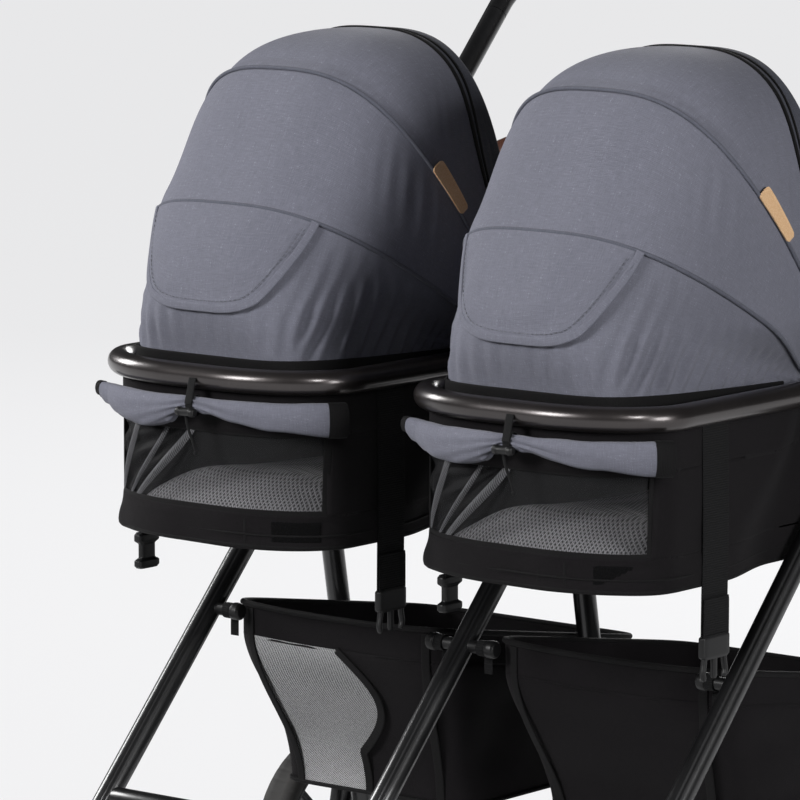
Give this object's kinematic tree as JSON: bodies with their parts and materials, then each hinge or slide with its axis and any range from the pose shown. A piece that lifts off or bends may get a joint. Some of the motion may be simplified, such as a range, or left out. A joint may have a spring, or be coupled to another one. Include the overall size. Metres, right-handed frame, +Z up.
{
  "type": "side by side twin stroller",
  "caption": "Side-by-side twin stroller with lie-flat seats in tube hoops, folding canopies, mesh baskets, swivel front wheels and a folding push handle.",
  "frame": {"origin": "on the floor, under the middle of the stroller's footprint", "axes": "+X across the two seats, +Y from the head ends and front wheels to the push handle, +Z up"},
  "size_m": [0.77, 0.833, 1.0227],
  "materials": {
    "gunmetal_tube": "gloss gunmetal black coat with soft highlights",
    "black_tube": "satin black coat",
    "black_plastic": "fine matte grain",
    "black_fabric": "dense plain weave",
    "blue_grey_fabric": "melange weave with light specks",
    "grey_mesh": "thick knitted mesh with a diamond pattern",
    "sheer_mesh": "sheer mesh with black bindings",
    "brown_leather": "stitched dark brown leather",
    "tyre": "foam-filled rubber with shallow tread",
    "rim": "moulded dark grey",
    "steel_bow": "drawn wire"
  },
  "bodies": {
    "chassis": {"front_leg_left": "black_tube", "front_leg_centre": "black_tube", "front_leg_right": "black_tube", "fold_hub_left": "black_plastic", "fold_hub_centre": "black_plastic", "fold_hub_right": "black_plastic", "front_cross_tube": "black_tube", "basket_left": "sheer_mesh", "basket_right": "sheer_mesh"},
    "rear_frame": {"rear_leg_left": "black_tube", "rear_leg_centre": "black_tube", "rear_leg_right": "black_tube", "rear_axle": "black_tube", "brake_block": "black_plastic"},
    "brake_pedal": {"brake_pedal": "black_plastic"},
    "handle": {"handle_arm_left": "black_tube", "handle_arm_right": "black_tube", "handle_bar": "black_tube", "handle_grip": "brown_leather"},
    "fold_button": {"fold_button": "black_plastic"},
    "caster_left": {"caster_fork_left": "black_plastic"},
    "front_wheel_left": {"front_wheel_left_tyre": "tyre", "front_wheel_left_rim": "rim"},
    "rear_wheel_left": {"rear_wheel_left_tyre": "tyre", "rear_wheel_left_rim": "rim"},
    "seat_left": {"hoop_left": "gunmetal_tube", "seat_hub_left_a": "black_plastic", "seat_hub_left_b": "black_plastic", "tub_left": "black_fabric", "mattress_left": "grey_mesh", "window_flap_left": "blue_grey_fabric", "side_strap_left": "black_fabric", "buckle_socket_left": "black_plastic", "canopy_rear_left": "blue_grey_fabric", "bow_rear_left": "steel_bow"},
    "canopy_mid_left": {"canopy_mid_left": "blue_grey_fabric", "bow_mid_left": "steel_bow"},
    "canopy_front_left": {"canopy_front_left": "blue_grey_fabric", "bow_front_left": "steel_bow"},
    "bumper_left": {"bumper_bar_left": "brown_leather"},
    "caster_right": {"caster_fork_right": "black_plastic"},
    "front_wheel_right": {"front_wheel_right_tyre": "tyre", "front_wheel_right_rim": "rim"},
    "rear_wheel_right": {"rear_wheel_right_tyre": "tyre", "rear_wheel_right_rim": "rim"},
    "seat_right": {"hoop_right": "gunmetal_tube", "seat_hub_right_a": "black_plastic", "seat_hub_right_b": "black_plastic", "tub_right": "black_fabric", "mattress_right": "grey_mesh", "window_flap_right": "blue_grey_fabric", "side_strap_right": "black_fabric", "buckle_socket_right": "black_plastic", "canopy_rear_right": "blue_grey_fabric", "bow_rear_right": "steel_bow"},
    "canopy_mid_right": {"canopy_mid_right": "blue_grey_fabric", "bow_mid_right": "steel_bow"},
    "canopy_front_right": {"canopy_front_right": "blue_grey_fabric", "bow_front_right": "steel_bow"},
    "bumper_right": {"bumper_bar_right": "brown_leather"}
  },
  "joints": [
    {"name": "handle_fold", "type": "hinge", "parent": "chassis", "child": "handle", "pos_m": [0, -0.00675, 0.57], "axis": [1, 0, 0], "range_deg": [0, 150]},
    {"name": "rear_leg_fold", "type": "hinge", "parent": "chassis", "child": "rear_frame", "pos_m": [0, -0.00675, 0.57], "axis": [1, 0, 0], "range_deg": [-33.5, 0]},
    {"name": "brake_pedal", "type": "hinge", "parent": "rear_frame", "child": "brake_pedal", "pos_m": [0.15, 0.09736, 0.11], "axis": [1, 0, 0], "range_deg": [-15, 0]},
    {"name": "fold_button", "type": "slide", "parent": "handle", "child": "fold_button", "axis": [0, 0, 1], "range_m": [0, 0.004], "stiffness_N_per_m": 300},
    {"name": "caster_swivel_left", "type": "hinge", "parent": "chassis", "child": "caster_left", "pos_m": [-0.32, -0.37154, 0.1743], "axis": [0, 0, 1], "continuous": true},
    {"name": "front_wheel_left", "type": "hinge", "parent": "caster_left", "child": "front_wheel_left", "pos_m": [-0.32, -0.33654, 0.08], "axis": [1, 0, 0], "continuous": true},
    {"name": "rear_wheel_left", "type": "hinge", "parent": "rear_frame", "child": "rear_wheel_left", "pos_m": [-0.366, 0.07437, 0.11], "axis": [1, 0, 0], "continuous": true},
    {"name": "seat_tilt_left", "type": "hinge", "parent": "chassis", "child": "seat_left", "pos_m": [-0.19, -0.00675, 0.655], "axis": [1, 0, 0], "range_deg": [-30, 0]},
    {"name": "canopy_mid_left", "type": "hinge", "parent": "seat_left", "child": "canopy_mid_left", "pos_m": [-0.19, -0.03474, 0.655], "axis": [1, 0, 0], "range_deg": [0, 19], "deforming": ["canopy_mid_left"]},
    {"name": "canopy_front_left", "type": "hinge", "parent": "canopy_mid_left", "child": "canopy_front_left", "pos_m": [-0.19, -0.03474, 0.655], "axis": [1, 0, 0], "range_deg": [0, 10], "deforming": ["canopy_front_left"]},
    {"name": "bumper_lift_left", "type": "hinge", "parent": "seat_left", "child": "bumper_left", "pos_m": [-0.19, 0.00726, 0.655], "axis": [1, 0, 0], "range_deg": [0, 50]},
    {"name": "caster_swivel_right", "type": "hinge", "parent": "chassis", "child": "caster_right", "pos_m": [0.32, -0.37154, 0.1743], "axis": [0, 0, 1], "continuous": true},
    {"name": "front_wheel_right", "type": "hinge", "parent": "caster_right", "child": "front_wheel_right", "pos_m": [0.32, -0.33654, 0.08], "axis": [1, 0, 0], "continuous": true},
    {"name": "rear_wheel_right", "type": "hinge", "parent": "rear_frame", "child": "rear_wheel_right", "pos_m": [0.366, 0.07437, 0.11], "axis": [1, 0, 0], "continuous": true},
    {"name": "seat_tilt_right", "type": "hinge", "parent": "chassis", "child": "seat_right", "pos_m": [0.19, -0.00675, 0.655], "axis": [1, 0, 0], "range_deg": [-30, 0]},
    {"name": "canopy_mid_right", "type": "hinge", "parent": "seat_right", "child": "canopy_mid_right", "pos_m": [0.19, -0.03474, 0.655], "axis": [1, 0, 0], "range_deg": [0, 19], "deforming": ["canopy_mid_right"]},
    {"name": "canopy_front_right", "type": "hinge", "parent": "canopy_mid_right", "child": "canopy_front_right", "pos_m": [0.19, -0.03474, 0.655], "axis": [1, 0, 0], "range_deg": [0, 10], "deforming": ["canopy_front_right"]},
    {"name": "bumper_lift_right", "type": "hinge", "parent": "seat_right", "child": "bumper_right", "pos_m": [0.19, 0.00726, 0.655], "axis": [1, 0, 0], "range_deg": [0, 50]}
  ],
  "couplings": [
    {"joint": "rear_leg_fold", "follows": "handle_fold", "ratio": -0.22}
  ]
}
